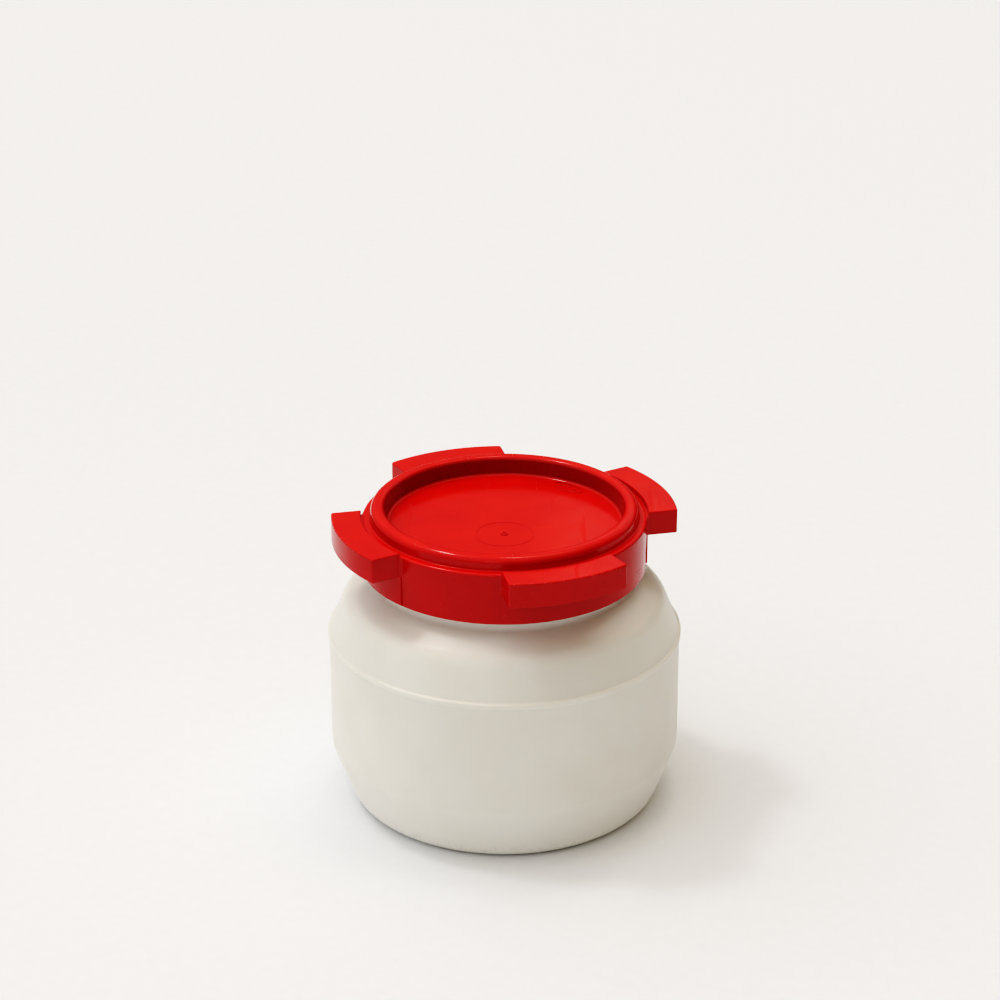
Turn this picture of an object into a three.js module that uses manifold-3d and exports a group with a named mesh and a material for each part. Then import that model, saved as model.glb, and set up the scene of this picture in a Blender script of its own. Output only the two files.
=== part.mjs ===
// Wide-neck storage jar with a screw lid that has four grip lugs, and a sealing gasket.
// Millimetres, +Z up. The origin is the centre of the foot, on the surface the jar stands on.

import * as THREE from 'three';
import { mergeVertices } from 'three/addons/utils/BufferGeometryUtils.js';
import Module from 'manifold-3d';

const wasm = await Module();
wasm.setup();

// ---------- driving dimensions ----------

const CLEARANCE = 0.3;
const TURN_SEGMENTS = 48;
const FILLET_STEP = Math.PI / 9;

const JAR_WALL = 2.6;
const PUSH_UP_HEIGHT = 3;
const PUSH_UP_RADIUS = 63;
const PUSH_UP_FILLET = 2;
const FOOT_INNER_RADIUS = 67;
const FOOT_INNER_FILLET = 1.5;
const FOOT_CORNER_RADIUS = 86;
const FOOT_FILLET = 11;
const BARREL_RADIUS = 98.5;
const BARREL_BOTTOM_Z = 35;
const BARREL_BOTTOM_FILLET = 6;
const BARREL_TOP_Z = 101;
const BARREL_TOP_FILLET = 4;
const BEAD_RADIUS = 99;
const BEAD_HEIGHT = 2.4;
const SHOULDER_RADIUS = 89.2;
const SHOULDER_Z = 123;
const SHOULDER_FILLET = 14;
const NECK_RADIUS = 71.2;
const NECK_ROOT_Z = 132.5;
const NECK_ROOT_FILLET = 3;
const LIP_Z = 170.9;
const LIP_FILLET = 0.8;

const THREAD_PITCH = 10;
const THREAD_DEPTH = 3.2;
const THREAD_BASE_WIDTH = 4.2;
const THREAD_CREST_WIDTH = 2;
const THREAD_EMBED = 0.8;
const THREAD_RUN_OUT = Math.PI / 8;
const NECK_THREAD_TURNS = 1.5;
const NECK_THREAD_START_Z = 146.2;
const LID_THREAD_TURNS = 1.25;
const LID_THREAD_DROP = 3.3;

const LID_TOP_Z = 176;
const LID_WALL = 2.4;
const RIM_OUTER_RADIUS = 74.5;
const RIM_OUTER_FILLET = 4;
const RIM_INNER_RADIUS = 66.6;
const RIM_INNER_FILLET = 2.5;
const RIM_ROOT_FILLET = 0.6;
const PLUG_RADIUS = 67.9;
const PLUG_FILLET = 1.5;
const CHANNEL_OUTER_RADIUS = 72.3;
const PANEL_RADIUS = 65.7;
const PANEL_Z = 165;
const PANEL_FILLET = 1.5;
const LEDGE_Z = 168.5;
const SKIRT_RADIUS = 79;
const SKIRT_BOTTOM_Z = 139;
const SKIRT_DRAFT = 0.4;
const SKIRT_BOTTOM_FILLET = 0.8;
const SKIRT_TOP_FILLET = 1.5;
const SKIRT_BORE_RADIUS = 76.2;

const LUG_COUNT = 4;
const LUG_RADIUS = 96;
const LUG_TOP_Z = 171;
const LUG_BOTTOM_Z = 157;
const LUG_START = THREE.MathUtils.degToRad(1.4);
const LUG_END = THREE.MathUtils.degToRad(42.8);
const LUG_ROOT_FLARE = THREE.MathUtils.degToRad(2.6);
const LUG_ROOT_RADIUS = 77.6;
const LUG_STEP_RADIUS = 79.7;
const LUG_CELLS = 4;
const LUG_RIB = 2;
const PAD_RADIUS = 79.6;
const PAD_BOTTOM_Z = 140;

const GASKET_THICKNESS = 2;

// ---------- materials ----------

const jarPlastic = new THREE.MeshStandardMaterial({ color: 0xe4e3dc, roughness: 0.45, metalness: 0 });
const lidPlastic = new THREE.MeshStandardMaterial({ color: 0xc8141a, roughness: 0.25, metalness: 0 });
const gasketRubber = new THREE.MeshStandardMaterial({ color: 0x2b2b2d, roughness: 0.8, metalness: 0 });

// ---------- solids and meshes ----------

// A closed geometry as a solid. Triangles that collapse on the axis of a lathe are dropped.
function toSolid(geometry) {
  geometry.deleteAttribute('normal');
  geometry.deleteAttribute('uv');
  const merged = mergeVertices(geometry, 1e-4);
  const corners = merged.index.array;
  const triangles = [];
  for (let i = 0; i < corners.length; i += 3) {
    const triangle = [corners[i], corners[i + 1], corners[i + 2]];
    if (new Set(triangle).size === 3) {
      triangles.push(...triangle);
    }
  }
  return new wasm.Manifold(new wasm.Mesh({
    numProp: 3,
    vertProperties: Float32Array.from(merged.attributes.position.array),
    triVerts: Uint32Array.from(triangles),
  }));
}

function toMesh(name, solid, material) {
  const { vertProperties, triVerts } = solid.getMesh();
  const geometry = new THREE.BufferGeometry();
  geometry.setAttribute('position', new THREE.BufferAttribute(vertProperties, 3));
  geometry.setIndex(new THREE.BufferAttribute(triVerts, 1));
  geometry.computeVertexNormals();
  const mesh = new THREE.Mesh(geometry, material);
  mesh.name = name;
  return mesh;
}

// ---------- outlines ----------

// A corner of an outline: x is the distance from the axis, y the height.
function corner(radius, height, fillet = 0) {
  return { point: new THREE.Vector2(radius, height), fillet };
}

// The points of one corner: itself when it is sharp, or an arc that touches both its sides.
function cornerPoints(before, here, after) {
  if (here.fillet === 0) {
    return [here.point];
  }
  const toBefore = before.point.clone().sub(here.point).normalize();
  const toAfter = after.point.clone().sub(here.point).normalize();
  const halfAngle = Math.acos(toBefore.dot(toAfter)) / 2;
  const start = here.point.clone().addScaledVector(toBefore, here.fillet / Math.tan(halfAngle));
  const bisector = toBefore.clone().add(toAfter).normalize();
  const centre = here.point.clone().addScaledVector(bisector, here.fillet / Math.sin(halfAngle));
  const sweep = Math.sign(toAfter.cross(toBefore)) * (Math.PI - 2 * halfAngle);
  const steps = Math.ceil(Math.abs(sweep) / FILLET_STEP);
  const points = [];
  for (let i = 0; i <= steps; i += 1) {
    points.push(start.clone().rotateAround(centre, (sweep * i) / steps));
  }
  return points;
}

function outlinePoints(corners) {
  return corners.flatMap((here, i) => cornerPoints(corners[i - 1], here, corners[i + 1]));
}

// The outline moved to its left by a distance, with mitred corners and fillets to match.
function insetCorners(corners, distance) {
  const leftOf = (from, to) => {
    const along = to.point.clone().sub(from.point).normalize();
    return new THREE.Vector2(-along.y, along.x);
  };
  return corners.map((here, i) => {
    const before = i > 0 ? leftOf(corners[i - 1], here) : leftOf(here, corners[i + 1]);
    const after = i < corners.length - 1 ? leftOf(here, corners[i + 1]) : before;
    const shift = before.clone().add(after).multiplyScalar(distance / (1 + before.dot(after)));
    const turnsLeft = before.cross(after) > 0;
    const fillet = turnsLeft ? here.fillet - distance : here.fillet + distance;
    return {
      point: here.point.clone().add(shift),
      fillet: here.fillet === 0 ? 0 : Math.max(fillet, 0),
    };
  });
}

// An outline turned round the Z axis. It starts and ends on the axis, or closes on itself.
function turned(points) {
  const geometry = new THREE.LatheGeometry(points, TURN_SEGMENTS);
  geometry.rotateX(Math.PI / 2);
  return toSolid(geometry);
}

function ring(innerRadius, outerRadius, bottomZ, topZ) {
  const bottomInner = new THREE.Vector2(innerRadius, bottomZ);
  return turned([
    bottomInner,
    new THREE.Vector2(outerRadius, bottomZ),
    new THREE.Vector2(outerRadius, topZ),
    new THREE.Vector2(innerRadius, topZ),
    bottomInner,
  ]);
}

// ---------- screw thread ----------

// A right-hand thread rib. side is 1 for a rib that stands out of a neck, -1 for one inside a bore.
// A straight bar is extruded along its own Z, then wound up: its Z becomes the angle, its Y the
// depth and its X the height. Near both ends the rib sinks into the wall.
function threadRib(wallRadius, side, startZ, turns) {
  const section = new THREE.Shape([
    new THREE.Vector2(-THREAD_BASE_WIDTH / 2, -THREAD_EMBED),
    new THREE.Vector2(THREAD_BASE_WIDTH / 2, -THREAD_EMBED),
    new THREE.Vector2(THREAD_CREST_WIDTH / 2, THREAD_DEPTH),
    new THREE.Vector2(-THREAD_CREST_WIDTH / 2, THREAD_DEPTH),
  ]);
  const fullAngle = 2 * Math.PI * turns;
  const bar = new THREE.ExtrudeGeometry(section, {
    depth: fullAngle,
    steps: turns * TURN_SEGMENTS,
    bevelEnabled: false,
  });
  const smallestShare = 0.1;
  const position = bar.attributes.position;
  for (let i = 0; i < position.count; i += 1) {
    const angle = position.getZ(i);
    const fromEnd = Math.min(angle, fullAngle - angle);
    const share = Math.min(1, smallestShare + fromEnd / THREAD_RUN_OUT);
    const depth = (position.getY(i) + THREAD_EMBED) * share - THREAD_EMBED;
    const radius = wallRadius + side * depth;
    const height = startZ + side * position.getX(i) + (THREAD_PITCH * angle) / (2 * Math.PI);
    position.setXYZ(i, radius * Math.cos(angle), radius * Math.sin(angle), height);
  }
  return toSolid(bar);
}

// ---------- jar ----------

// Up the outside from the middle of the base to the lip: a raised middle and a flat foot ring,
// a tapering lower wall, an upright barrel, a conical shoulder and the neck.
function jarOuterCorners() {
  return [
    corner(0, PUSH_UP_HEIGHT),
    corner(PUSH_UP_RADIUS, PUSH_UP_HEIGHT, PUSH_UP_FILLET),
    corner(FOOT_INNER_RADIUS, 0, FOOT_INNER_FILLET),
    corner(FOOT_CORNER_RADIUS, 0, FOOT_FILLET),
    corner(BARREL_RADIUS, BARREL_BOTTOM_Z, BARREL_BOTTOM_FILLET),
    corner(BARREL_RADIUS, BARREL_TOP_Z, BARREL_TOP_FILLET),
    corner(SHOULDER_RADIUS, SHOULDER_Z, SHOULDER_FILLET),
    corner(NECK_RADIUS, NECK_ROOT_Z, NECK_ROOT_FILLET),
    corner(NECK_RADIUS, LIP_Z, LIP_FILLET),
  ];
}

function jarShell() {
  const outside = jarOuterCorners();
  const inside = insetCorners(outside, JAR_WALL).reverse();
  inside[0].fillet = LIP_FILLET;
  return turned(outlinePoints([...outside, ...inside]));
}

// The fine raised line where the barrel meets the shoulder.
function shoulderBead() {
  const bottom = BARREL_TOP_Z - BEAD_HEIGHT;
  const rise = BEAD_HEIGHT / 4;
  const start = new THREE.Vector2(BARREL_RADIUS - JAR_WALL / 2, bottom - rise);
  return turned([
    start,
    new THREE.Vector2(BARREL_RADIUS - 0.1, bottom - rise),
    new THREE.Vector2(BEAD_RADIUS, bottom + rise),
    new THREE.Vector2(BEAD_RADIUS, BARREL_TOP_Z - rise),
    new THREE.Vector2(BARREL_RADIUS - JAR_WALL / 2, BARREL_TOP_Z),
    start,
  ]);
}

function jarBody() {
  const thread = threadRib(NECK_RADIUS, 1, NECK_THREAD_START_Z, NECK_THREAD_TURNS);
  return jarShell().add(shoulderBead()).add(thread);
}

// ---------- lid ----------

// From the middle of the panel's underside: the plug, the channel that takes the lip and the
// gasket, the threaded skirt, then up the outside over the ledge and the rim to the sunk panel.
function lidShell() {
  return turned(outlinePoints([
    corner(0, PANEL_Z - LID_WALL),
    corner(PLUG_RADIUS, PANEL_Z - LID_WALL, PLUG_FILLET),
    corner(PLUG_RADIUS, LID_TOP_Z - LID_WALL),
    corner(CHANNEL_OUTER_RADIUS, LID_TOP_Z - LID_WALL),
    corner(CHANNEL_OUTER_RADIUS, LEDGE_Z - LID_WALL),
    corner(SKIRT_BORE_RADIUS, LEDGE_Z - LID_WALL),
    corner(SKIRT_BORE_RADIUS, SKIRT_BOTTOM_Z),
    corner(SKIRT_RADIUS - SKIRT_DRAFT, SKIRT_BOTTOM_Z, SKIRT_BOTTOM_FILLET),
    corner(SKIRT_RADIUS, LEDGE_Z, SKIRT_TOP_FILLET),
    corner(RIM_OUTER_RADIUS, LEDGE_Z, RIM_ROOT_FILLET),
    corner(RIM_OUTER_RADIUS, LID_TOP_Z, RIM_OUTER_FILLET),
    corner(RIM_INNER_RADIUS, LID_TOP_Z, RIM_INNER_FILLET),
    corner(PANEL_RADIUS, PANEL_Z, PANEL_FILLET),
    corner(0, PANEL_Z),
  ]));
}

function polar(radius, angle) {
  return new THREE.Vector2(radius * Math.cos(angle), radius * Math.sin(angle));
}

// A slice of a ring between two radii. flare widens it at both sides of its inner end.
function sectorSolid(innerRadius, outerRadius, start, end, flare, bottomZ, topZ) {
  const firstPoint = polar(innerRadius, start - flare);
  const plan = new THREE.Shape();
  plan.moveTo(firstPoint.x, firstPoint.y);
  plan.absarc(0, 0, outerRadius, start, end, false);
  plan.absarc(0, 0, innerRadius, end + flare, start - flare, true);
  const slice = new THREE.ExtrudeGeometry(plan, {
    depth: topZ - bottomZ,
    curveSegments: 4,
    bevelEnabled: false,
  });
  slice.translate(0, 0, bottomZ);
  return toSolid(slice);
}

// One hollow of a lug, open at the bottom. Thin ribs are left between neighbours.
function lugCell(index) {
  const outerRadius = LUG_RADIUS - LID_WALL;
  const wallAngle = LID_WALL / LUG_RADIUS;
  const ribAngle = LUG_RIB / LUG_RADIUS;
  const openAngle = LUG_END - LUG_START - 2 * wallAngle - (LUG_CELLS - 1) * ribAngle;
  const cellAngle = openAngle / LUG_CELLS;
  const start = LUG_START + wallAngle + index * (cellAngle + ribAngle);
  const floorZ = LUG_TOP_Z - LID_WALL;
  return sectorSolid(LUG_STEP_RADIUS, outerRadius, start, start + cellAngle, 0, LUG_BOTTOM_Z - 1, floorZ);
}

// A lug at the first place: a block rooted in the skirt, stepped above the ledge, cored from below.
function lug() {
  let block = sectorSolid(
    LUG_ROOT_RADIUS, LUG_RADIUS, LUG_START, LUG_END, LUG_ROOT_FLARE, LUG_BOTTOM_Z, LUG_TOP_Z,
  );
  block = block.subtract(ring(RIM_OUTER_RADIUS, LUG_STEP_RADIUS, LEDGE_Z - 0.5, LUG_TOP_Z + 1));
  for (let i = 0; i < LUG_CELLS; i += 1) {
    block = block.subtract(lugCell(i));
  }
  return block;
}

// The slightly thicker part of the skirt below a lug.
function skirtPad() {
  const topZ = LUG_BOTTOM_Z + 0.5;
  const start = LUG_START - LUG_ROOT_FLARE;
  const end = LUG_END + LUG_ROOT_FLARE;
  const slice = sectorSolid(
    LUG_ROOT_RADIUS - 1, PAD_RADIUS + 2, start, end, 0, PAD_BOTTOM_Z - 1, topZ + 1,
  );
  return ring(LUG_ROOT_RADIUS, PAD_RADIUS, PAD_BOTTOM_Z, topZ).intersect(slice);
}

function screwLid() {
  const threadStartZ = NECK_THREAD_START_Z - LID_THREAD_DROP;
  let lid = lidShell().add(threadRib(SKIRT_BORE_RADIUS, -1, threadStartZ, LID_THREAD_TURNS));
  const firstLug = lug().add(skirtPad());
  for (let i = 0; i < LUG_COUNT; i += 1) {
    lid = lid.add(firstLug.rotate([0, 0, (360 * i) / LUG_COUNT]));
  }
  return lid;
}

// ---------- gasket ----------

// A flat ring that lies between the jar's lip and the top of the lid's channel.
function gasket() {
  return ring(
    PLUG_RADIUS + CLEARANCE,
    CHANNEL_OUTER_RADIUS - CLEARANCE,
    LIP_Z + CLEARANCE,
    LIP_Z + CLEARANCE + GASKET_THICKNESS,
  );
}

const jar = new THREE.Group();
jar.add(toMesh('jar_body', jarBody(), jarPlastic));
jar.add(toMesh('screw_lid', screwLid(), lidPlastic));
jar.add(toMesh('gasket', gasket(), gasketRubber));

export default jar;
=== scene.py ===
"""Looks for a wide-neck storage jar with a red four-lug screw lid, on a pale studio floor.

Lengths are in metres, in the CAD model's frame: +Z up, origin at the centre of the foot.
"""

import math

import bmesh
import bpy
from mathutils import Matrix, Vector


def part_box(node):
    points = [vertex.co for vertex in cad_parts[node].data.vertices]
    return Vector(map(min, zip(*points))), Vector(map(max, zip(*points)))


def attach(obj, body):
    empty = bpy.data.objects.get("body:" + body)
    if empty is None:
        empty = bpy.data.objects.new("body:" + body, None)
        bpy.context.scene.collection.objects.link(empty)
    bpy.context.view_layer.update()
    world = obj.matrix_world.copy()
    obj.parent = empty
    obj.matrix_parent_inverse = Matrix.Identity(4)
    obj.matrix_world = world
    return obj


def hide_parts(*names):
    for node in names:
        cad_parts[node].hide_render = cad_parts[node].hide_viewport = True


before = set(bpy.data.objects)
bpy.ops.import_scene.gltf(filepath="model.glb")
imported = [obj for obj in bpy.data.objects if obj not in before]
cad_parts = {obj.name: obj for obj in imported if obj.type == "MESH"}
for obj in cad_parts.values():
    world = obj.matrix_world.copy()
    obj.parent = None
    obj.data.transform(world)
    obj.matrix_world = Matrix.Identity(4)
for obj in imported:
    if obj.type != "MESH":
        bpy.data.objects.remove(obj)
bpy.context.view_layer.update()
_, jar_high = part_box("jar_body")
lid_low, lid_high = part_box("screw_lid")
gasket_low, gasket_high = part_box("gasket")

MM = 0.001
FULL_TURN = 2 * math.pi

# ---------- sizes ----------

BARREL_RADIUS = jar_high.x - 0.5 * MM
LIP_Z = jar_high.z
NECK_RADIUS = 71.2 * MM
JAR_WALL = 2.6 * MM

THREAD_PITCH = 10 * MM
THREAD_EMBED = 0.8 * MM
THREAD_RUN_OUT = math.radians(24)
NECK_THREAD_START_Z = 146.2 * MM
NECK_THREAD_TURNS = 1.5
LID_THREAD_START_Z = 142.9 * MM
LID_THREAD_TURNS = 1.25

LID_TOP_Z = lid_high.z
LID_WALL = 2.4 * MM
PANEL_Z = LID_TOP_Z - 11 * MM
LEDGE_Z = LID_TOP_Z - 7.5 * MM
SKIRT_RADIUS = 79 * MM
SKIRT_BORE_RADIUS = 76.2 * MM

LUG_COUNT = 4
LUG_RADIUS = 96 * MM
LUG_TOP_Z = LID_TOP_Z - 5 * MM
LUG_BOTTOM_Z = LID_TOP_Z - 19 * MM
LUG_START = math.radians(1.4)
LUG_END = math.radians(42.8)
LUG_FLARE = math.radians(2.6)
LUG_RUN_OUT = math.radians(4)
LUG_FILLET = 1.2 * MM
LUG_ROOT_FILLET = 2.2 * MM
LUG_ROOT_RADIUS = 76.9 * MM
LUG_STEP_RADIUS = 79.7 * MM
LUG_CELLS = 4
LUG_RIB = 2 * MM
CELL_FILLET = 0.8 * MM
PAD_RADIUS = 79.6 * MM
PAD_ROOT_RADIUS = 77 * MM
PAD_BOTTOM_Z = 139.9 * MM
PAD_FILLET = 0.5 * MM

# Places on the outlines, in millimetres, which is what corner() takes.
PUSH_UP_RADIUS = 63
PUSH_UP_HEIGHT = 3
PINCH_HALF_LENGTH = 46
PINCH_HALF_WIDTH = 0.7
FOOT_INNER_RADIUS = 67
FOOT_CORNER_RADIUS = 86
FOOT_FILLET = 11
BARREL_BOTTOM = 35
BEAD_BOTTOM = 98
BEAD_TOP = 101.3
BEAD_RADIUS = 99.1
SHOULDER_RADIUS = 89.2
SHOULDER_TOP = 123
SHOULDER_FILLET = 14
NECK_ROOT = 132.5
LIP_FILLET = 0.9
THREAD_HALF_BASE = 2.1
THREAD_HALF_CREST = 1.0
THREAD_DEPTH = 3.2
PLUG_RADIUS = 67.9
CHANNEL_RADIUS = 72.3
SKIRT_DRAFT = 0.4
RIM_RADIUS = 74.5
RIM_FILLET = 4
RECESS_RADIUS = 66.6
RECESS_FILLET = 2.6
PANEL_RADIUS = 65.7
GASKET_WIDTH = 3.8

# Marks on the lid's panel, in millimetres.
DIAL_CENTRE = (0, -17.5)
DIAL_RADIUS = 16
MARK_CENTRE = (36, 47.5)
MARK_DIRECTION = (14, -13)
MARK_HALF_LENGTH = 10.4
MARK_HALF_WIDTH = 4.6
MARK_LINE = 1.2
PIP_RADIUS = 1.3
PIP_SPACING = 5

# Colours, each pair the two ends of a soft mottle.
JAR_COLOURS = (0.875, 0.843, 0.757), (0.902, 0.873, 0.798)
SCUFF_COLOUR = (0.52, 0.51, 0.48)
# The lid's reds for upright faces are darker and those for upward faces lighter: painted shade on
# the sides and painted light on the tops, as the overhead lamps fall on them.
LID_SHADED_SIDE_COLOURS = (0.52, 0.006, 0.008), (0.57, 0.009, 0.010)
LID_LIT_TOP_COLOURS = (0.74, 0.012, 0.009), (0.80, 0.020, 0.011)
# Painted shade on the walls of the recess inside the rim.
LID_RECESS_SHADE_COLOUR = (0.33, 0.004, 0.006)
LID_WORN_COLOUR = (0.75, 0.16, 0.13)
GASKET_COLOURS = (0.022, 0.022, 0.024), (0.036, 0.036, 0.038)
FLOOR_COLOURS = (0.880, 0.897, 0.936), (0.894, 0.911, 0.950)

# Each far light: its name, the way to it, strength, softness in degrees, colour.
KEY_DIRECTION = (-0.40, 0.139, 0.906)
SUNS = (
    ("key", KEY_DIRECTION, 0.14, 34, (0.97, 1.0, 1.08)),
    ("key_core", KEY_DIRECTION, 0.34, 8, (1.0, 1.0, 1.0)),
    ("second", (0.24, 0.21, 0.948), 0.2, 30, (1.0, 0.98, 0.93)),
    ("second_core", (0.06, 0.2, 0.978), 0.12, 8, (1.0, 0.98, 0.93)),
    ("front_core", (-0.16, -0.88, 0.45), 0.05, 9, (0.97, 1.0, 1.05)),
)
OVERHEAD_DIRECTION = (-0.34, -0.02, 0.94)
WALL_STRENGTHS = (0.08, 1.19)
WALL_COLOURS = (1.0, 0.985, 0.955), (1.0, 0.82, 0.58)
CARD_STRENGTH = 0.75
CONTRAST_POINTS = ((0.04, 0.005), (0.09, 0.02), (0.18, 0.12), (0.35, 0.33))

CAMERA_PLACE = (0, -1.397, 0.781)
CAMERA_TILT = math.radians(66.64)
CAMERA_LENS = 99.1
CAMERA_SENSOR = 36
CAMERA_SHIFT = -0.0045

# ---------- outlines ----------


def corner(x, y, fillet=0.0):
    """A corner of an outline, in millimetres, with the radius that rounds it."""
    return Vector((x * MM, y * MM)), fillet * MM


def corner_points(before, here, after, step):
    """The corner itself when it is sharp, or an arc that touches both its sides."""
    point, fillet = here
    if fillet == 0:
        return [point.copy()]
    to_before = (before[0] - point).normalized()
    to_after = (after[0] - point).normalized()
    half = math.acos(max(-1, min(1, to_before.dot(to_after)))) / 2
    start = point + to_before * (fillet / math.tan(half))
    centre = point + (to_before + to_after).normalized() * (fillet / math.sin(half))
    turn = to_after.x * to_before.y - to_after.y * to_before.x
    sweep = math.copysign(math.pi - 2 * half, turn)
    count = max(2, math.ceil(abs(sweep) / step))
    spoke = start - centre
    points = []
    for i in range(count + 1):
        angle = sweep * i / count
        c, s = math.cos(angle), math.sin(angle)
        points.append(centre + Vector((c * spoke.x - s * spoke.y, s * spoke.x + c * spoke.y)))
    return points


def open_outline(corners, step=math.radians(9)):
    points = [corners[0][0].copy()]
    for i in range(1, len(corners) - 1):
        points += corner_points(corners[i - 1], corners[i], corners[i + 1], step)
    points.append(corners[-1][0].copy())
    return points


def closed_outline(corners, step=math.radians(15)):
    points = []
    for i, here in enumerate(corners):
        after = corners[(i + 1) % len(corners)]
        points += corner_points(corners[i - 1], here, after, step)
    return points


def divided(points, longest):
    """The outline with extra points, so that no side is longer than the given length."""
    result = [points[0]]
    for a, b in zip(points, points[1:]):
        count = max(1, math.ceil((b - a).length / longest))
        result += [a.lerp(b, i / count) for i in range(1, count + 1)]
    return result


def smooth_step(low, high, value):
    t = max(0.0, min(1.0, (value - low) / (high - low)))
    return t * t * (3 - 2 * t)


# ---------- meshes ----------


def new_object(name, vertices, faces):
    mesh = bpy.data.meshes.new(name)
    mesh.from_pydata([tuple(v) for v in vertices], [], faces)
    mesh.validate()
    obj = bpy.data.objects.new(name, mesh)
    bpy.context.scene.collection.objects.link(obj)
    return obj


def revolve(name, outline, angles, relief=None, closed=False):
    """Turns an outline of (radius, height) round Z. An open outline starts and ends on the axis."""
    columns = len(angles)
    vertices = []
    rows = []
    for point in outline:
        if point.x < 1e-9:
            rows.append([len(vertices)] * columns)
            vertices.append((0, 0, point.y))
            continue
        rows.append(list(range(len(vertices), len(vertices) + columns)))
        for angle in angles:
            radius = point.x + (relief(angle, point) if relief else 0)
            vertices.append((radius * math.cos(angle), radius * math.sin(angle), point.y))
    faces = []
    row_pairs = list(zip(rows, rows[1:]))
    if closed:
        row_pairs.append((rows[-1], rows[0]))
    for lower, upper in row_pairs:
        for i in range(columns):
            k = (i + 1) % columns
            face = [lower[i], lower[k], upper[k], upper[i]]
            faces.append(list(dict.fromkeys(face)))
    return new_object(name, vertices, faces)


def loft(name, rings):
    """Joins closed rings of points, and closes the first and the last with a flat face."""
    count = len(rings[0])
    vertices = [p for ring in rings for p in ring]
    faces = [list(reversed(range(count)))]
    for r in range(len(rings) - 1):
        for i in range(count):
            k = (i + 1) % count
            a, b = r * count, (r + 1) * count
            faces.append([a + i, a + k, b + k, b + i])
    last = (len(rings) - 1) * count
    faces.append([last + i for i in range(count)])
    return new_object(name, vertices, faces)


def inset_ring(points, distance):
    """A closed plan outline, run anticlockwise, moved inwards."""
    result = []
    for i, here in enumerate(points):
        along_a = (here - points[i - 1]).normalized()
        along_b = (points[(i + 1) % len(points)] - here).normalized()
        left_a = Vector((-along_a.y, along_a.x))
        left_b = Vector((-along_b.y, along_b.x))
        mitre = (left_a + left_b) / max(0.3, 1 + left_a.dot(left_b))
        result.append(here + mitre * distance)
    return result


def rounded_prism(name, plan, bottom, top, round_bottom, round_top, steps=4):
    """An upright prism with its top and bottom edges rounded, by less than the plan's fillets."""
    rings = []
    for i in range(steps + 1):
        angle = math.pi / 2 * i / steps
        ring = inset_ring(plan, round_bottom * (1 - math.sin(angle)))
        z = bottom + round_bottom * (1 - math.cos(angle))
        rings.append([(p.x, p.y, z) for p in ring])
    for i in range(steps + 1):
        angle = math.pi / 2 * i / steps
        ring = inset_ring(plan, round_top * (1 - math.cos(angle)))
        z = top - round_top * (1 - math.sin(angle))
        rings.append([(p.x, p.y, z) for p in ring])
    return loft(name, rings)


def bake_modifiers(obj):
    """Puts the result of an object's modifiers into its mesh."""
    dg = bpy.context.evaluated_depsgraph_get()
    made = bpy.data.meshes.new_from_object(obj.evaluated_get(dg))
    obj.modifiers.clear()
    old = obj.data
    obj.data = made
    bpy.data.meshes.remove(old)


def boolean(target, tool, operation):
    """Joins or cuts the target with the tool, and removes the tool."""
    modifier = target.modifiers.new("boolean", "BOOLEAN")
    modifier.operation = operation
    modifier.object = tool
    modifier.solver = "MANIFOLD"
    bake_modifiers(target)
    bpy.data.objects.remove(tool)


def clean(obj):
    """Joins the corners that a boolean leaves a hair apart, and drops the slivers between them."""
    work = bmesh.new()
    work.from_mesh(obj.data)
    hair = 0.002 * MM
    bmesh.ops.remove_doubles(work, verts=work.verts, dist=hair)
    bmesh.ops.dissolve_degenerate(work, edges=work.edges, dist=hair)
    work.to_mesh(obj.data)
    work.free()


def shade(obj, sharp_degrees):
    """Smooth shading, except across edges that bend more than the given angle."""
    obj.data.shade_smooth()
    obj.data.set_sharp_from_angle(angle=math.radians(sharp_degrees))


def flatten_normals(obj):
    """Keeps the large flat faces evenly shaded up to their rounded edges."""
    modifier = obj.modifiers.new("weighted", "WEIGHTED_NORMAL")
    modifier.keep_sharp = True
    bake_modifiers(obj)


def even_angles(count):
    return [FULL_TURN * i / count for i in range(count)]


# ---------- screw thread ----------


def thread_rib(name, wall_radius, side, start_z, turns):
    """A right-hand thread rib that stands out of a neck (side 1) or into a bore (side -1)."""
    embed = THREAD_EMBED / MM
    section = closed_outline([
        corner(-THREAD_HALF_BASE, -embed),
        corner(THREAD_HALF_BASE, -embed),
        corner(THREAD_HALF_BASE, 0.1, 0.4),
        corner(THREAD_HALF_CREST, THREAD_DEPTH, 0.5),
        corner(-THREAD_HALF_CREST, THREAD_DEPTH, 0.5),
        corner(-THREAD_HALF_BASE, 0.1, 0.4),
    ], math.radians(30))
    full_angle = FULL_TURN * turns
    steps_a_turn = 192
    steps = int(steps_a_turn * turns)
    rings = []
    for i in range(steps + 1):
        angle = full_angle * i / steps
        from_end = min(angle, full_angle - angle)
        smallest_share = 0.1
        share = smallest_share + (1 - smallest_share) * smooth_step(0, THREAD_RUN_OUT, from_end)
        ring = []
        for p in section:
            depth = (p.y + THREAD_EMBED) * share - THREAD_EMBED
            radius = wall_radius + side * depth
            height = start_z + side * p.x + THREAD_PITCH * angle / FULL_TURN
            ring.append((radius * math.cos(angle), radius * math.sin(angle), height))
        rings.append(ring)
    return loft(name, rings)


# ---------- jar ----------

SEAM_HALF_WIDTH = 0.35 * MM
SEAM_HEIGHT = 0.12 * MM
SEAM_ANGLES = (0.0, math.pi)
SEAM_OFFSETS_DEGREES = (0.12, 0.24, 0.4, 0.7)

# Each wave of the wall: height in millimetres, waves a turn, radians a metre upwards, phase.
WALL_WAVES = (
    (0.07, 2, 0, 0.7),
    (0.05, 3, -22, 2.1),
    (0.035, 5, 60, 0.4),
    (0.02, 9, -95, 1.3),
)


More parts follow.
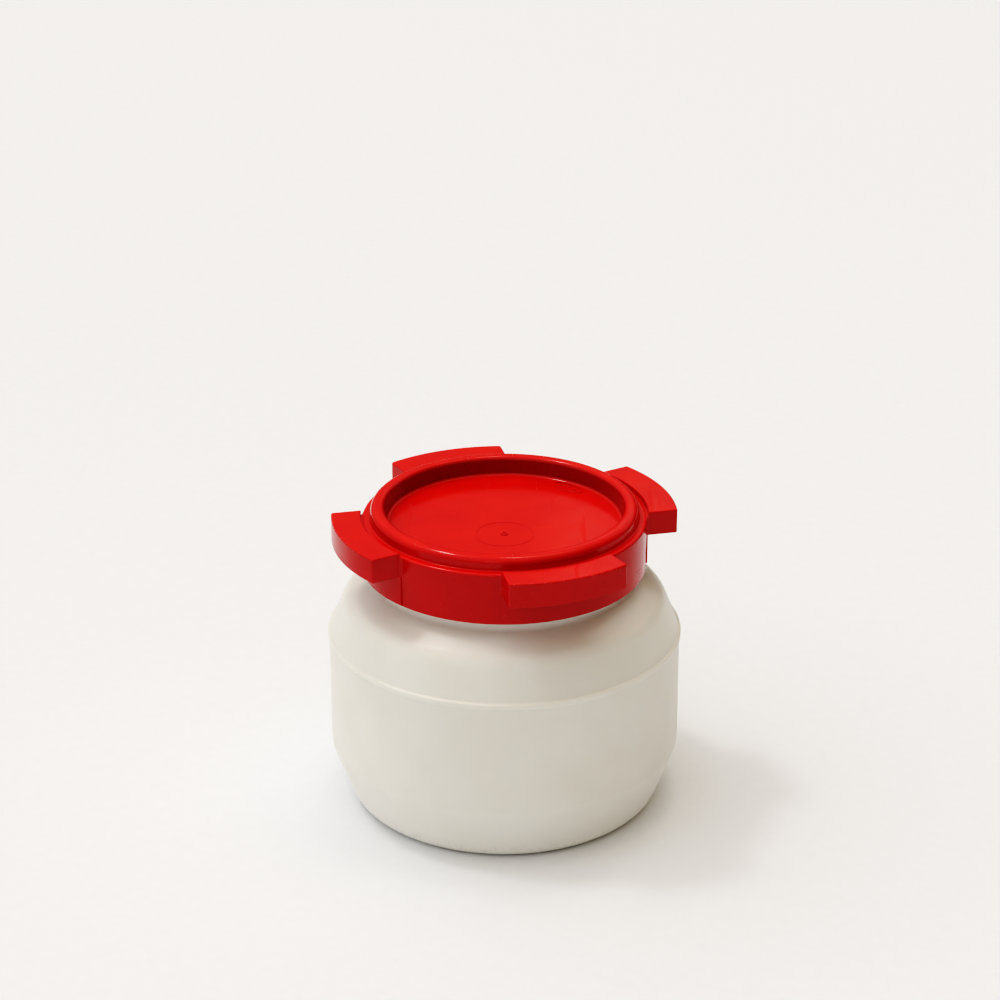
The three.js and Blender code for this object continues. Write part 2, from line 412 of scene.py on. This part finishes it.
def jar_angles():
    """Even angles, with extra ones close together across the two mould seams."""
    angles = even_angles(240)
    for seam in SEAM_ANGLES:
        for offset in SEAM_OFFSETS_DEGREES:
            turn = math.radians(offset)
            angles += [(seam + turn) % FULL_TURN, (seam - turn) % FULL_TURN]
    return sorted(angles)


def jar_relief(angle, point):
    """The slow unevenness of a blown wall, and the fine ridge of the mould seam."""
    z = point.y
    outside = smooth_step(72 * MM, 78 * MM, point.x)
    above_foot = smooth_step(4 * MM, 20 * MM, z)
    below_neck = 1 - smooth_step(116 * MM, 130 * MM, z)
    waves = sum(h * math.sin(n * angle + rise * z + phase) for h, n, rise, phase in WALL_WAVES)
    waist = -0.06 * math.cos(95 * (z - 68 * MM))
    ridge = 0
    for seam in SEAM_ANGLES:
        away = abs((angle - seam + math.pi) % FULL_TURN - math.pi) * point.x
        ridge += math.exp(-((away / SEAM_HALF_WIDTH) ** 2))
    on_seam = smooth_step(72 * MM, 80 * MM, point.x)
    return (waves + waist) * MM * above_foot * below_neck * outside + ridge * SEAM_HEIGHT * on_seam


def jar_outline():
    """Up the outside from the middle of the base to the lip, and down the inside."""
    barrel = BARREL_RADIUS / MM
    neck = NECK_RADIUS / MM
    wall = JAR_WALL / MM
    lip = LIP_Z / MM
    outside = [
        corner(0, PUSH_UP_HEIGHT),
        corner(PUSH_UP_RADIUS, PUSH_UP_HEIGHT, 2),
        corner(FOOT_INNER_RADIUS, 0, 1.5),
        corner(FOOT_CORNER_RADIUS, 0, FOOT_FILLET),
        corner(barrel, BARREL_BOTTOM, 5),
        corner(barrel, BEAD_BOTTOM, 0.6),
        corner(BEAD_RADIUS, BEAD_BOTTOM + 0.9, 0.8),
        corner(BEAD_RADIUS, BEAD_TOP, 1.1),
        corner(BEAD_RADIUS - 1.5, BEAD_TOP + 0.6, 0.5),
        corner(SHOULDER_RADIUS, SHOULDER_TOP, SHOULDER_FILLET),
        corner(neck, NECK_ROOT, 3),
        corner(neck, lip, LIP_FILLET),
        corner(neck - wall, lip, LIP_FILLET),
    ]
    inside = [
        corner(neck - wall, NECK_ROOT - 1.5, 5),
        corner(SHOULDER_RADIUS - 2, SHOULDER_TOP - 1.9, SHOULDER_FILLET - 3),
        corner(barrel - wall, BEAD_TOP - 0.3, 3),
        corner(barrel - wall, BARREL_BOTTOM + 0.5, 6),
        corner(FOOT_CORNER_RADIUS - 1.8, wall, FOOT_FILLET - wall),
        corner(FOOT_INNER_RADIUS + 0.9, wall, 1),
        corner(PUSH_UP_RADIUS + 0.9, PUSH_UP_HEIGHT + wall, 4),
        corner(0, PUSH_UP_HEIGHT + wall),
    ]
    return open_outline(outside + inside, math.radians(7))


def pinch_off():
    """The raised weld across the raised base, where the mould pinched the tube shut."""
    length, width, fillet = PINCH_HALF_LENGTH, PINCH_HALF_WIDTH, 0.6
    plan = closed_outline([
        corner(-length, -width, fillet),
        corner(length, -width, fillet),
        corner(length, width, fillet),
        corner(-length, width, fillet),
    ])
    bottom = (PUSH_UP_HEIGHT - 0.7) * MM
    top = (PUSH_UP_HEIGHT + 1) * MM
    return rounded_prism("pinch_off", plan, bottom, top, 0.4 * MM, 0.1 * MM)


def jar_body():
    longest_side = 6 * MM
    outline = divided(jar_outline(), longest_side)
    jar = revolve("jar_body_skin", outline, jar_angles(), jar_relief)
    thread = thread_rib("neck_thread", NECK_RADIUS, 1, NECK_THREAD_START_Z, NECK_THREAD_TURNS)
    boolean(jar, thread, "UNION")
    boolean(jar, pinch_off(), "UNION")
    shade(jar, 50)
    return jar


# ---------- lid ----------


def lid_outline():
    """From the panel's underside, out to the skirt, then up over the ledge, rim and recess."""
    top = LID_TOP_Z / MM
    panel = PANEL_Z / MM
    ledge = LEDGE_Z / MM
    wall = LID_WALL / MM
    skirt = SKIRT_RADIUS / MM
    bore = SKIRT_BORE_RADIUS / MM
    bottom = lid_low.z / MM
    return open_outline([
        corner(0, panel - wall),
        corner(PLUG_RADIUS, panel - wall, 1.5),
        corner(PLUG_RADIUS, top - wall, 0.3),
        corner(CHANNEL_RADIUS, top - wall, 0.3),
        corner(CHANNEL_RADIUS, ledge - wall, 0.6),
        corner(bore, ledge - wall, 1),
        corner(bore, bottom, 0.5),
        corner(skirt - SKIRT_DRAFT, bottom, 0.9),
        corner(skirt, ledge, 1.6),
        corner(RIM_RADIUS, ledge, 0.8),
        corner(RIM_RADIUS, top, RIM_FILLET),
        corner(RECESS_RADIUS, top, RECESS_FILLET),
        corner(PANEL_RADIUS, panel, 1.8),
        corner(0, panel),
    ])


def polar(radius, angle):
    return Vector((radius * math.cos(angle), radius * math.sin(angle)))


def arc_corners(radius, start, end, step):
    count = max(1, round(abs(end - start) / step))
    return [(polar(radius, start + (end - start) * i / count), 0.0) for i in range(count + 1)]


def lug_plan():
    """A lug from above, with filleted roots that run out along the skirt."""
    step = math.radians(1.5)
    skin = SKIRT_RADIUS - 0.05 * MM
    buried = SKIRT_RADIUS - 0.35 * MM
    outer = arc_corners(LUG_RADIUS, LUG_START, LUG_END, step)
    outer[0] = (outer[0][0], LUG_FILLET)
    outer[-1] = (outer[-1][0], LUG_FILLET)
    first = LUG_START - LUG_FLARE
    last = LUG_END + LUG_FLARE
    inner = arc_corners(LUG_ROOT_RADIUS, last + LUG_RUN_OUT, first - LUG_RUN_OUT, step)
    return closed_outline([
        (polar(buried, first - LUG_RUN_OUT), 0.0),
        (polar(skin, first), LUG_ROOT_FILLET),
        *outer,
        (polar(skin, last), LUG_ROOT_FILLET),
        (polar(buried, last + LUG_RUN_OUT), 0.0),
        *inner,
    ])


def lug_cell(index):
    """One hollow of a lug, open at the bottom."""
    wall_angle = LID_WALL / LUG_RADIUS
    rib_angle = LUG_RIB / LUG_RADIUS
    open_angle = LUG_END - LUG_START - 2 * wall_angle - (LUG_CELLS - 1) * rib_angle
    cell = open_angle / LUG_CELLS
    start = LUG_START + wall_angle + index * (cell + rib_angle)
    step = math.radians(2.5)
    outer = arc_corners(LUG_RADIUS - LID_WALL, start, start + cell, step)
    inner = arc_corners(LUG_STEP_RADIUS, start + cell, start, step)
    for side in (outer, inner):
        side[0] = (side[0][0], CELL_FILLET)
        side[-1] = (side[-1][0], CELL_FILLET)
    plan = closed_outline(outer + inner, math.radians(30))
    top = LUG_TOP_Z - LID_WALL
    return rounded_prism("cell", plan, LUG_BOTTOM_Z - MM, top, 0.1 * MM, 0.6 * MM, 3)


def ledge_cutter():
    """The ring that is cut away above the ledge, so that a lug's top ends in a rounded step."""
    inner = RIM_RADIUS - 0.1
    step = LUG_STEP_RADIUS / MM
    top = LUG_TOP_Z / MM
    ledge = LEDGE_Z / MM
    profile = open_outline([
        corner(inner, ledge - 0.4),
        corner(step, ledge - 0.4),
        corner(step, top - 0.9),
        corner(step + 0.25, top - 0.25),
        corner(step + 0.9, top + 0.01),
        corner(step + 0.9, top + 1),
        corner(inner, top + 1),
    ])
    return revolve("ledge_cutter", profile, even_angles(256), closed=True)


def turned_to_place(obj, index):
    """Turns a part of the first lug round to another lug's place."""
    turn = FULL_TURN * index / LUG_COUNT
    c, s = math.cos(turn), math.sin(turn)
    for v in obj.data.vertices:
        x, y = v.co.x, v.co.y
        v.co.x = c * x - s * y
        v.co.y = s * x + c * y
    return obj


def lug():
    """The lug at the first place: a rounded block, cored from below and stepped at its root."""
    block = rounded_prism("lug", lug_plan(), LUG_BOTTOM_Z, LUG_TOP_Z, 0.4 * MM, 0.9 * MM)
    for i in range(LUG_CELLS):
        boolean(block, lug_cell(i), "DIFFERENCE")
    boolean(block, ledge_cutter(), "DIFFERENCE")
    return block


def skirt_pad():
    """The slightly thicker part of the skirt below a lug."""
    start = LUG_START - LUG_FLARE
    end = LUG_END + LUG_FLARE
    step = math.radians(1.5)
    outer = arc_corners(PAD_RADIUS, start, end, step)
    outer[0] = (outer[0][0], PAD_FILLET)
    outer[-1] = (outer[-1][0], PAD_FILLET)
    plan = closed_outline(outer + arc_corners(PAD_ROOT_RADIUS, end, start, step))
    top = LUG_BOTTOM_Z + 0.45 * MM
    return rounded_prism("skirt_pad", plan, PAD_BOTTOM_Z, top, 0.3 * MM, 0.01 * MM)


def raised_ring(radius, width, height, centre):
    """A low round ridge on the panel."""
    base = PANEL_Z / MM - 0.3
    top = PANEL_Z / MM + height
    profile = closed_outline([
        corner(radius - width / 2, base),
        corner(radius + width / 2, base),
        corner(radius + width / 2, top, height * 0.7),
        corner(radius - width / 2, top, height * 0.7),
    ], math.radians(30))
    obj = revolve("raised_ring", profile, even_angles(96), closed=True)
    for v in obj.data.vertices:
        v.co.x += centre[0] * MM
        v.co.y += centre[1] * MM
    return obj


def oval_badge():
    """A plain raised oval with three pips inside."""
    along = Vector(MARK_DIRECTION).normalized()
    across = Vector((-along.y, along.x))
    middle = Vector(MARK_CENTRE) * MM

    def oval(inset):
        length, width = MARK_HALF_LENGTH - inset, MARK_HALF_WIDTH - inset
        points = []
        for angle in even_angles(64):
            offset = along * (length * math.cos(angle)) + across * (width * math.sin(angle))
            points.append(middle + offset * MM)
        return points

    low = PANEL_Z - 0.3 * MM
    top = PANEL_Z + 0.35 * MM
    small, large = 0.05 * MM, 0.25 * MM
    badge = rounded_prism("badge", oval(0), low, top, small, large)
    hollow = rounded_prism("hollow", oval(MARK_LINE), low - MM, top + MM, small, small)
    boolean(badge, hollow, "DIFFERENCE")
    for place in (-PIP_SPACING, 0, PIP_SPACING):
        pip = middle + along * (place * MM)
        disc = [pip + polar(PIP_RADIUS * MM, angle) for angle in even_angles(24)]
        boolean(badge, rounded_prism("pip", disc, low, top, small, large), "UNION")
    return badge


def screw_lid():
    lid = revolve("screw_lid_skin", lid_outline(), even_angles(256))
    thread = thread_rib("lid_thread", SKIRT_BORE_RADIUS, -1, LID_THREAD_START_Z, LID_THREAD_TURNS)
    boolean(lid, thread, "UNION")
    for i in range(LUG_COUNT):
        boolean(lid, turned_to_place(skirt_pad(), i), "UNION")
        boolean(lid, turned_to_place(lug(), i), "UNION")
    boolean(lid, raised_ring(DIAL_RADIUS, 1.2, 0.16, DIAL_CENTRE), "UNION")
    boolean(lid, raised_ring(1.6, 1.2, 0.5, DIAL_CENTRE), "UNION")
    boolean(lid, oval_badge(), "UNION")
    clean(lid)
    shade(lid, 35)
    flatten_normals(lid)
    return lid


# ---------- gasket ----------


def gasket_ring():
    outer = gasket_high.x / MM
    inner = outer - GASKET_WIDTH
    bottom = gasket_low.z / MM
    top = gasket_high.z / MM
    outline = closed_outline([
        corner(inner, bottom, 0.5),
        corner(outer, bottom, 0.5),
        corner(outer, top, 0.5),
        corner(inner, top, 0.5),
    ])
    ring = revolve("gasket_skin", outline, even_angles(192), closed=True)
    shade(ring, 50)
    return ring


# ---------- materials ----------


def new_material(name):
    material = bpy.data.materials.new(name)
    material.use_nodes = True
    tree = material.node_tree
    shader = tree.nodes["Principled BSDF"]
    place = tree.nodes.new("ShaderNodeTexCoord")
    return material, tree, shader, place.outputs["Object"]


def noise(tree, place, scale, detail=2.0, stretch=None):
    node = tree.nodes.new("ShaderNodeTexNoise")
    node.inputs["Scale"].default_value = scale
    node.inputs["Detail"].default_value = detail
    if stretch:
        mapping = tree.nodes.new("ShaderNodeMapping")
        mapping.inputs["Scale"].default_value = stretch
        tree.links.new(place, mapping.inputs["Vector"])
        place = mapping.outputs["Vector"]
    tree.links.new(place, node.inputs["Vector"])
    return node.outputs["Fac"]


def remap(tree, value, low, high, new_low, new_high):
    node = tree.nodes.new("ShaderNodeMapRange")
    node.inputs["From Min"].default_value = low
    node.inputs["From Max"].default_value = high
    node.inputs["To Min"].default_value = new_low
    node.inputs["To Max"].default_value = new_high
    tree.links.new(value, node.inputs["Value"])
    return node.outputs["Result"]


def math_node(tree, operation, a, b):
    node = tree.nodes.new("ShaderNodeMath")
    node.operation = operation
    for socket, value in zip(node.inputs, (a, b)):
        if isinstance(value, (int, float)):
            socket.default_value = value
        else:
            tree.links.new(value, socket)
    return node.outputs["Value"]


def blend_colours(tree, share, first, second):
    node = tree.nodes.new("ShaderNodeMix")
    node.data_type = "RGBA"
    tree.links.new(share, node.inputs["Factor"])
    for socket, value in ((node.inputs[6], first), (node.inputs[7], second)):
        if isinstance(value, tuple):
            socket.default_value = (*value, 1)
        else:
            tree.links.new(value, socket)
    return node.outputs[2]


def bump(tree, shader, height, distance, strength=1.0):
    node = tree.nodes.new("ShaderNodeBump")
    node.inputs["Strength"].default_value = strength
    node.inputs["Distance"].default_value = distance
    tree.links.new(height, node.inputs["Height"])
    tree.links.new(node.outputs["Normal"], shader.inputs["Normal"])


def from_axis(tree, place):
    """How far a point is from the Z axis."""
    flat = tree.nodes.new("ShaderNodeVectorMath")
    flat.operation = "MULTIPLY"
    flat.inputs[1].default_value = (1, 1, 0)
    tree.links.new(place, flat.inputs[0])
    length = tree.nodes.new("ShaderNodeVectorMath")
    length.operation = "LENGTH"
    tree.links.new(flat.outputs["Vector"], length.inputs[0])
    return length.outputs["Value"]


def height_of(tree, place):
    node = tree.nodes.new("ShaderNodeSeparateXYZ")
    tree.links.new(place, node.inputs["Vector"])
    return node.outputs["Z"]


def facing_up(tree):
    """1 where a surface faces straight up, 0 where it is upright or faces down."""
    geometry = tree.nodes.new("ShaderNodeNewGeometry")
    return remap(tree, height_of(tree, geometry.outputs["Normal"]), 0.1, 0.95, 0, 1)


def jar_plastic():
    material, tree, shader, place = new_material("jar_plastic")
    cloud = remap(tree, noise(tree, place, 26, 3), 0.35, 0.65, 0, 1)
    colour = blend_colours(tree, cloud, *JAR_COLOURS)
    scuff = noise(tree, place, 900, 4, (1, 1, 0.08))
    low_down = remap(tree, height_of(tree, place), 0, 12 * MM, 1, 0)
    scuffed = math_node(tree, "MULTIPLY", remap(tree, scuff, 0.52, 0.68, 0, 0.55), low_down)
    colour = blend_colours(tree, scuffed, colour, SCUFF_COLOUR)
    tree.links.new(colour, shader.inputs["Base Color"])
    rough = remap(tree, noise(tree, place, 60, 4), 0.3, 0.7, 0.29, 0.37)
    tree.links.new(math_node(tree, "ADD", rough, scuffed), shader.inputs["Roughness"])
    shader.inputs["IOR"].default_value = 1.52
    shader.inputs["Subsurface Weight"].default_value = 0.25
    shader.inputs["Subsurface Radius"].default_value = (1.0, 0.85, 0.7)
    shader.inputs["Subsurface Scale"].default_value = 8 * MM
    bump(tree, shader, noise(tree, place, 420, 3), 0.06 * MM, 0.6)
    return material


def lid_plastic():
    material, tree, shader, place = new_material("lid_plastic")
    flow = remap(tree, noise(tree, place, 34, 3), 0.35, 0.65, 0, 1)
    # Painted light and shade: upright faces get the darker reds and upward faces the lighter ones,
    # blended by how far each face points up.
    sides = blend_colours(tree, flow, *LID_SHADED_SIDE_COLOURS)
    lit_tops = blend_colours(tree, flow, *LID_LIT_TOP_COLOURS)
    radius = from_axis(tree, place)
    # Painted shade: the recess walls inside the rim are darkened, where the rim shades them.
    recess = remap(tree, radius, (RECESS_RADIUS + 0.6) * MM, (RECESS_RADIUS + 1.4) * MM, 1, 0)
    sides = blend_colours(tree, recess, sides, LID_RECESS_SHADE_COLOUR)
    colour = blend_colours(tree, facing_up(tree), sides, lit_tops)
    edge = remap(tree, radius, LUG_RADIUS - 1.2 * MM, LUG_RADIUS + 0.2 * MM, 0, 1)
    nicks = remap(tree, noise(tree, place, 700, 4), 0.55, 0.7, 0, 0.6)
    near_top = remap(tree, height_of(tree, place), LUG_TOP_Z - 1.6 * MM, LUG_TOP_Z, 0, 1)
    worn = math_node(tree, "MULTIPLY", math_node(tree, "MULTIPLY", edge, near_top), nicks)
    colour = blend_colours(tree, worn, colour, LID_WORN_COLOUR)
    tree.links.new(colour, shader.inputs["Base Color"])
    rough = remap(tree, noise(tree, place, 80, 4), 0.3, 0.7, 0.13, 0.2)
    scratch = remap(tree, noise(tree, place, 300, 5, (1, 0.05, 1)), 0.6, 0.72, 0, 0.2)
    rough = math_node(tree, "ADD", rough, scratch)
    tree.links.new(math_node(tree, "ADD", rough, worn), shader.inputs["Roughness"])
    shader.inputs["IOR"].default_value = 1.5
    shader.inputs["Subsurface Weight"].default_value = 0.06
    shader.inputs["Subsurface Radius"].default_value = (1.0, 0.2, 0.1)
    shader.inputs["Subsurface Scale"].default_value = 3 * MM
    bump(tree, shader, noise(tree, place, 160, 3), 0.08 * MM, 0.5)
    return material


def gasket_rubber():
    material, tree, shader, place = new_material("gasket_rubber")
    speckle = remap(tree, noise(tree, place, 500, 3), 0.4, 0.6, 0, 1)
    colour = blend_colours(tree, speckle, *GASKET_COLOURS)
    tree.links.new(colour, shader.inputs["Base Color"])
    rough = remap(tree, noise(tree, place, 240, 3), 0.3, 0.7, 0.6, 0.8)
    tree.links.new(rough, shader.inputs["Roughness"])
    bump(tree, shader, noise(tree, place, 900, 2), 0.05 * MM, 0.5)
    return material


def floor_paper():
    material, tree, shader, place = new_material("floor_paper")
    fibre = remap(tree, noise(tree, place, 140, 5), 0.3, 0.7, 0, 1)
    colour = blend_colours(tree, fibre, *FLOOR_COLOURS)
    tree.links.new(colour, shader.inputs["Base Color"])
    shader.inputs["Roughness"].default_value = 0.75
    bump(tree, shader, noise(tree, place, 700, 3), 0.1 * MM, 0.3)
    return material


# ---------- stage ----------


def floor():
    half = 9.0
    count = 12
    vertices = []
    for i in range(count + 1):
        for k in range(count + 1):
            x = half * (2 * i / count - 1)
            y = half * (2 * k / count - 1)
            vertices.append((x, y, 0))
    faces = []
    for i in range(count):
        for k in range(count):
            a = i * (count + 1) + k
            faces.append([a, a + count + 1, a + count + 2, a + 1])
    obj = new_object("floor", vertices, faces)
    obj.data.materials.append(floor_paper())


def sun(name, direction, strength, softness_degrees, colour):
    """A far soft light. The direction points from the jar to the light."""
    data = bpy.data.lights.new(name, "SUN")
    data.energy = strength
    data.angle = math.radians(softness_degrees)
    data.color = colour
    light = bpy.data.objects.new(name, data)
    light.rotation_mode = "QUATERNION"
    light.rotation_quaternion = Vector(direction).to_track_quat("Z", "Y")
    bpy.context.scene.collection.objects.link(light)


def towards(tree, place, direction):
    """How far the view looks along a direction, from -1 to 1."""
    node = tree.nodes.new("ShaderNodeVectorMath")
    node.operation = "DOT_PRODUCT"
    node.inputs[1].default_value = direction
    tree.links.new(place, node.inputs[0])
    return node.outputs["Value"]


def studio_walls():
    """Light from all round: brightest overhead and to the left, warmer on the right."""
    world = bpy.data.worlds.new("studio")
    world.use_nodes = True
    tree = world.node_tree
    background = tree.nodes["Background"]
    view = tree.nodes.new("ShaderNodeTexCoord").outputs["Generated"]
    overhead = towards(tree, view, OVERHEAD_DIRECTION)
    strength = remap(tree, overhead, 0, 1, *WALL_STRENGTHS)
    tree.links.new(strength, background.inputs["Strength"])
    right = remap(tree, towards(tree, view, (1, 0, 0)), -0.3, 0.8, 0, 1)
    colour = blend_colours(tree, right, *WALL_COLOURS)
    tree.links.new(colour, background.inputs["Color"])
    bpy.context.scene.world = world


def back_card():
    """A bright card behind the jar that only the gloss on the plastic shows."""
    left, right, low, high, back = 0.05, 2.6, 0.795, 2.6, 1.5
    corners = [(left, back, low), (right, back, low), (right, back, high), (left, back, high)]
    card = new_object("back_card", corners, [[0, 1, 2, 3]])
    material = bpy.data.materials.new("back_card")
    material.use_nodes = True
    tree = material.node_tree
    tree.nodes.remove(tree.nodes["Principled BSDF"])
    emission = tree.nodes.new("ShaderNodeEmission")
    emission.inputs["Strength"].default_value = CARD_STRENGTH
    tree.links.new(emission.outputs["Emission"], tree.nodes["Material Output"].inputs["Surface"])
    card.data.materials.append(material)
    card.visible_camera = False
    card.visible_diffuse = False
    card.visible_shadow = False
    card.visible_transmission = False


def lights():
    for name, direction, strength, softness, colour in SUNS:
        sun(name, direction, strength, softness, colour)
    studio_walls()
    back_card()


def film_response():
    """More contrast: deep tones go darker, and light ones stay."""
    settings = bpy.context.scene.view_settings
    settings.view_transform = "Standard"
    settings.use_curve_mapping = True
    curve = settings.curve_mapping.curves[3]
    for x, y in CONTRAST_POINTS:
        curve.points.new(x, y)
    settings.curve_mapping.update()


def camera():
    data = bpy.data.cameras.new("camera")
    data.sensor_width = CAMERA_SENSOR
    data.lens = CAMERA_LENS
    data.shift_x = CAMERA_SHIFT
    obj = bpy.data.objects.new("camera", data)
    obj.location = CAMERA_PLACE
    obj.rotation_euler = (CAMERA_TILT, 0, 0)
    bpy.context.scene.collection.objects.link(obj)
    bpy.context.scene.camera = obj


# ---------- assembly ----------

camera()
lights()
film_response()
floor()

made = (
    (jar_body(), "jar", "jar_body", "jar_plastic", jar_plastic()),
    (screw_lid(), "lid", "screw_lid", "lid_plastic", lid_plastic()),
    (gasket_ring(), "seal", "gasket", "gasket_rubber", gasket_rubber()),
)
for piece, body, node, slot, material in made:
    piece.data.materials.clear()
    piece.data.materials.append(material)
    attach(piece, body)
    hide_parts(node)
